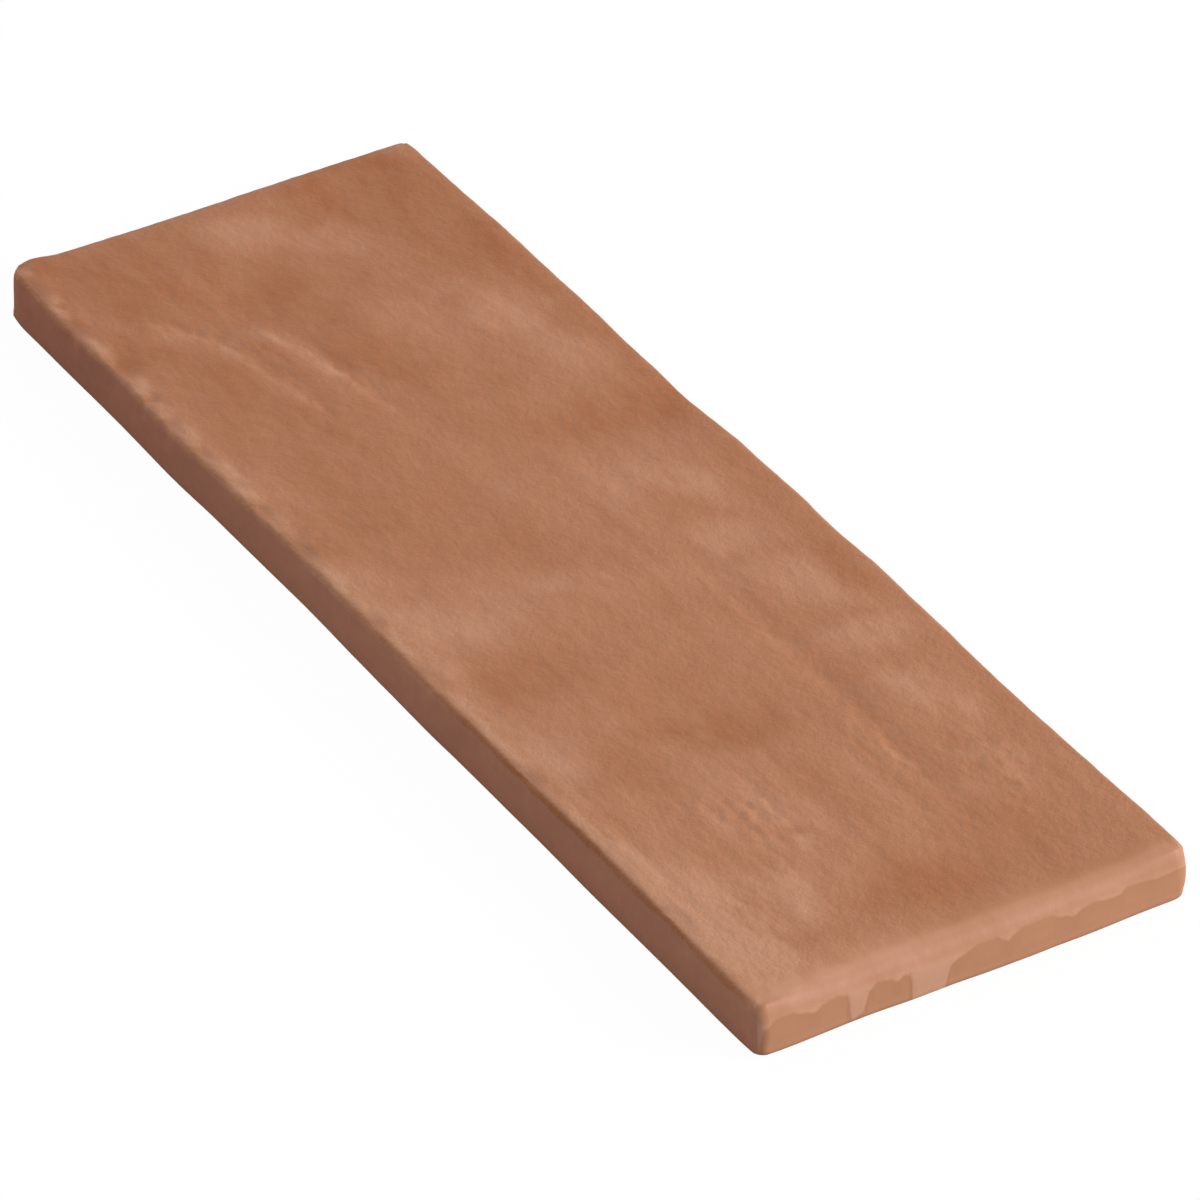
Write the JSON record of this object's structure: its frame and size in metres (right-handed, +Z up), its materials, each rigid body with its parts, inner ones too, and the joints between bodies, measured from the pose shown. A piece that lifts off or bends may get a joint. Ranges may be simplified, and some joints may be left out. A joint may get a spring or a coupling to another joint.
{
  "type": "terracotta tile",
  "caption": "Long rectangular terracotta wall and floor tile with a gently waved glazed face, worn edges and one rolled end.",
  "frame": {"origin": "middle of the flat back, on the surface that the tile lies on", "axes": "+X along the tile towards the rolled end, +Y across it, +Z up out of the face"},
  "size_m": [0.1999, 0.0662, 0.0082],
  "materials": {
    "glazed_terracotta": "satin terracotta glaze over fired clay"
  },
  "bodies": {
    "root": {"tile_body": "glazed_terracotta"}
  },
  "joints": []
}
